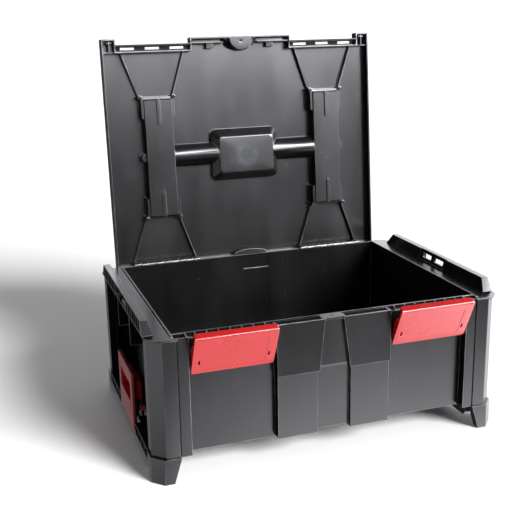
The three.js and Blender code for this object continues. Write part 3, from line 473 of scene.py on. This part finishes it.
# What gloss sees of the studio. Each row is a soft box: azimuth (0 in front, 90 to the right), its
# half-width at full strength and where it has faded out, height above the horizon, its half-width
# likewise, and radiance. Angles are in degrees. ROOM is the radiance everywhere else, and BACKDROP is
# what the camera sees behind the case.
SOFT_BOXES = (
    (46, 12, 56, 24.5, 9, 19, 50.0),
    (52, 22, 50, -40, 8, 22, 8.0),
    (20, 60, 90, -75, 12, 20, 1.65),
    (45, 18, 36, -6, 5, 12, 0.4),
    (100, 25, 50, 14, 8, 22, 6.0),
    (118, 25, 60, -45, 34, 50, 1.6),
    (150, 14, 40, 17, 8, 22, 2.0),
    (165, 14, 28, 14, 10, 26, 0.5),
    (186, 10, 28, -25, 6, 14, 0.2),
    (-84, 8, 22, -17, 8, 16, 1.8),
)
ROOM = 0.07
BACKDROP = 1.05
COOL_WHITE = (0.975, 0.98, 1.03, 1)
KEY_LIGHT = {"azimuth": 31, "height": 29, "strength": 6.6, "spread": 26}
FILL_LIGHT = {"azimuth": 10, "height": 80, "strength": 0.8, "spread": 120}


def angle_band(tree, angle, centre, inner, outer):
    """1 within an angle of the centre, fading smoothly to 0. The angle is a socket in radians."""
    off = math_node(tree, "SUBTRACT", angle, math.radians(centre))
    size = math_node(tree, "ARCCOSINE", math_node(tree, "COSINE", off))
    return fade_node(tree, size, math.radians(inner), math.radians(outer), 1, 0)


def sky_angles(tree):
    """Azimuth and height of the direction that a ray leaves in."""
    coordinates = tree.nodes.new("ShaderNodeTexCoord")
    parts = tree.nodes.new("ShaderNodeSeparateXYZ")
    tree.links.new(coordinates.outputs["Generated"], parts.inputs["Vector"])
    forward = math_node(tree, "MULTIPLY", parts.outputs["Y"], -1)
    azimuth = math_node(tree, "ARCTAN2", parts.outputs["X"], forward)
    height = math_node(tree, "ARCSINE", parts.outputs["Z"])
    return azimuth, height


def add_soft_box(tree, total, angles, box):
    """The radiance so far, which is a number or a socket, with one more soft box added."""
    azimuth, width, width_faded, height, tall, tall_faded, radiance = box
    across = angle_band(tree, angles[0], azimuth, width, width_faded)
    upright = angle_band(tree, angles[1], height, tall, tall_faded)
    both = math_node(tree, "MULTIPLY", across, upright)
    return math_node(tree, "MULTIPLY_ADD", both, radiance, total)


def build_world():
    """The soft boxes that gloss mirrors. Straight behind the case the camera sees plain white."""
    world = bpy.data.worlds.new("studio")
    bpy.context.scene.world = world
    world.use_nodes = True
    world.cycles_visibility.diffuse = False
    tree = world.node_tree
    background = tree.nodes["Background"]
    background.inputs["Color"].default_value = COOL_WHITE
    angles = sky_angles(tree)
    total = ROOM
    for box in SOFT_BOXES:
        total = add_soft_box(tree, total, angles, box)
    seen = tree.nodes.new("ShaderNodeMix")
    seen.inputs["B"].default_value = BACKDROP
    ray = tree.nodes.new("ShaderNodeLightPath")
    tree.links.new(ray.outputs["Is Camera Ray"], seen.inputs["Factor"])
    tree.links.new(total, seen.inputs["A"])
    tree.links.new(seen.outputs["Result"], background.inputs["Strength"])
    bpy.context.scene.view_settings.view_transform = "Standard"


def build_lamp(name, azimuth, height, strength, spread):
    """A distant soft light for the colours and shadows, which gloss doesn't mirror."""
    data = bpy.data.lights.new(name, "SUN")
    data.energy = strength
    data.angle = math.radians(spread)
    lamp = bpy.data.objects.new(name, data)
    bpy.context.scene.collection.objects.link(lamp)
    lamp.rotation_euler = (math.radians(90 - height), 0, math.radians(azimuth))
    lamp.visible_glossy = False


# The camera stands in front of the case, to its left and a little above the open lid.
CAMERA_PLACE = Vector((-0.5298, FRONT_Y - 1.19646, 0.69927))
CAMERA_YAW = math.radians(18.59)
CAMERA_PITCH = math.radians(-15.59)
CAMERA_ROLL = math.radians(-1.02)
CAMERA_LENS_MM = 61.9


def build_camera():
    data = bpy.data.cameras.new("camera")
    data.lens = CAMERA_LENS_MM
    camera = bpy.data.objects.new("camera", data)
    bpy.context.scene.collection.objects.link(camera)
    heading = Vector((math.sin(CAMERA_YAW), math.cos(CAMERA_YAW), 0))
    forward = heading * math.cos(CAMERA_PITCH) + Vector((0, 0, math.sin(CAMERA_PITCH)))
    level = Vector((math.cos(CAMERA_YAW), -math.sin(CAMERA_YAW), 0))
    upright = level.cross(forward)
    right = level * math.cos(CAMERA_ROLL) + upright * math.sin(CAMERA_ROLL)
    up = right.cross(forward)
    turned = Matrix((right, up, -forward)).transposed().to_4x4()
    camera.matrix_world = Matrix.Translation(CAMERA_PLACE) @ turned
    bpy.context.scene.camera = camera


build_floor()
build_world()
build_lamp("key_light", **KEY_LIGHT)
build_lamp("fill_light", **FILL_LIGHT)
build_camera()
